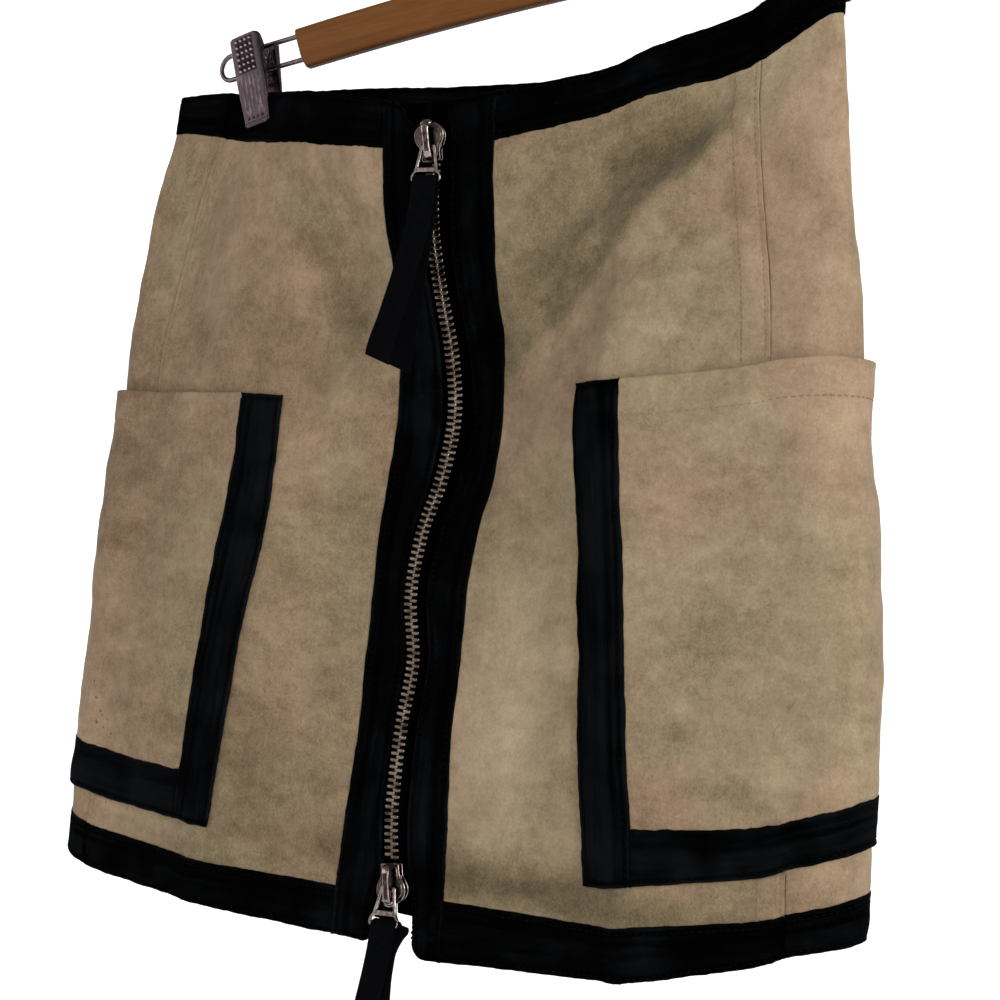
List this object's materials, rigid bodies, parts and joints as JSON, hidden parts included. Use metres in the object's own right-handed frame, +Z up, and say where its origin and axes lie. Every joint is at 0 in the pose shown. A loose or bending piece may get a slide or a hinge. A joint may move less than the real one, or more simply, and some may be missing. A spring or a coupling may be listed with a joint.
{
  "type": "suede mini skirt on clip hanger",
  "caption": "Suede mini skirt with black tape trim, a two-way front zip and wrap-round patch pockets, hung by clips on a wooden bar hanger.",
  "frame": {"origin": "top of the inside of the hanger's hook, where it rests on its rail", "axes": "+Z up, -Y out of the skirt's front, +X towards the wearer's left hip (the viewer's right)"},
  "size_m": [0.4534, 0.09, 0.6141],
  "materials": {
    "suede": "beige suede with a mottled nap",
    "black_trim": "matt black woven tape",
    "zip_tape": "black knitted zip tape",
    "zip_metal": "old nickel on brass",
    "slider_metal": "polished nickel",
    "ribbon": "matt black ribbed tape",
    "wood": "clear-coated brown wood",
    "clip_metal": "dark plated pressed steel",
    "wire_metal": "plated wire"
  },
  "bodies": {
    "root": {"back": "suede", "front_left": "suede", "front_right": "suede", "pocket_left": "suede", "pocket_right": "suede", "waistband_left": "black_trim", "waistband_right": "black_trim", "waistband_back": "black_trim", "hem_band_left": "black_trim", "hem_band_right": "black_trim", "hem_band_back": "black_trim", "placket_left": "black_trim", "placket_right": "black_trim", "pocket_trim_side_left": "black_trim", "pocket_trim_side_right": "black_trim", "pocket_trim_bottom_left": "black_trim", "pocket_trim_bottom_right": "black_trim", "zip_tape_left": "zip_tape", "zip_tape_right": "zip_tape", "zip_chain": "zip_metal", "slider_top": "slider_metal", "slider_bottom": "slider_metal", "hanger_bar": "wood", "clip_front_left": "clip_metal", "clip_back_left": "clip_metal", "clip_front_right": "clip_metal", "clip_back_right": "clip_metal", "hanger_hook": "wire_metal", "clip_wire_left": "wire_metal", "clip_wire_right": "wire_metal", "clip_spring_left": "wire_metal", "clip_spring_right": "wire_metal"},
    "top_pull": {"pull_tab_top": "slider_metal", "ribbon_top": "ribbon"},
    "bottom_pull": {"pull_tab_bottom": "slider_metal", "ribbon_bottom": "ribbon"}
  },
  "joints": [
    {"name": "top_pull_swing", "type": "hinge", "parent": "root", "child": "top_pull", "pos_m": [-0.01045, -0.02988, -0.14669], "axis": [-0.9784, -0.1596, -0.1312], "range_deg": [0, 110]},
    {"name": "bottom_pull_swing", "type": "hinge", "parent": "root", "child": "bottom_pull", "pos_m": [-0.00007, -0.03624, -0.50209], "axis": [-0.9837, -0.0926, -0.1543], "range_deg": [0, 100]}
  ]
}
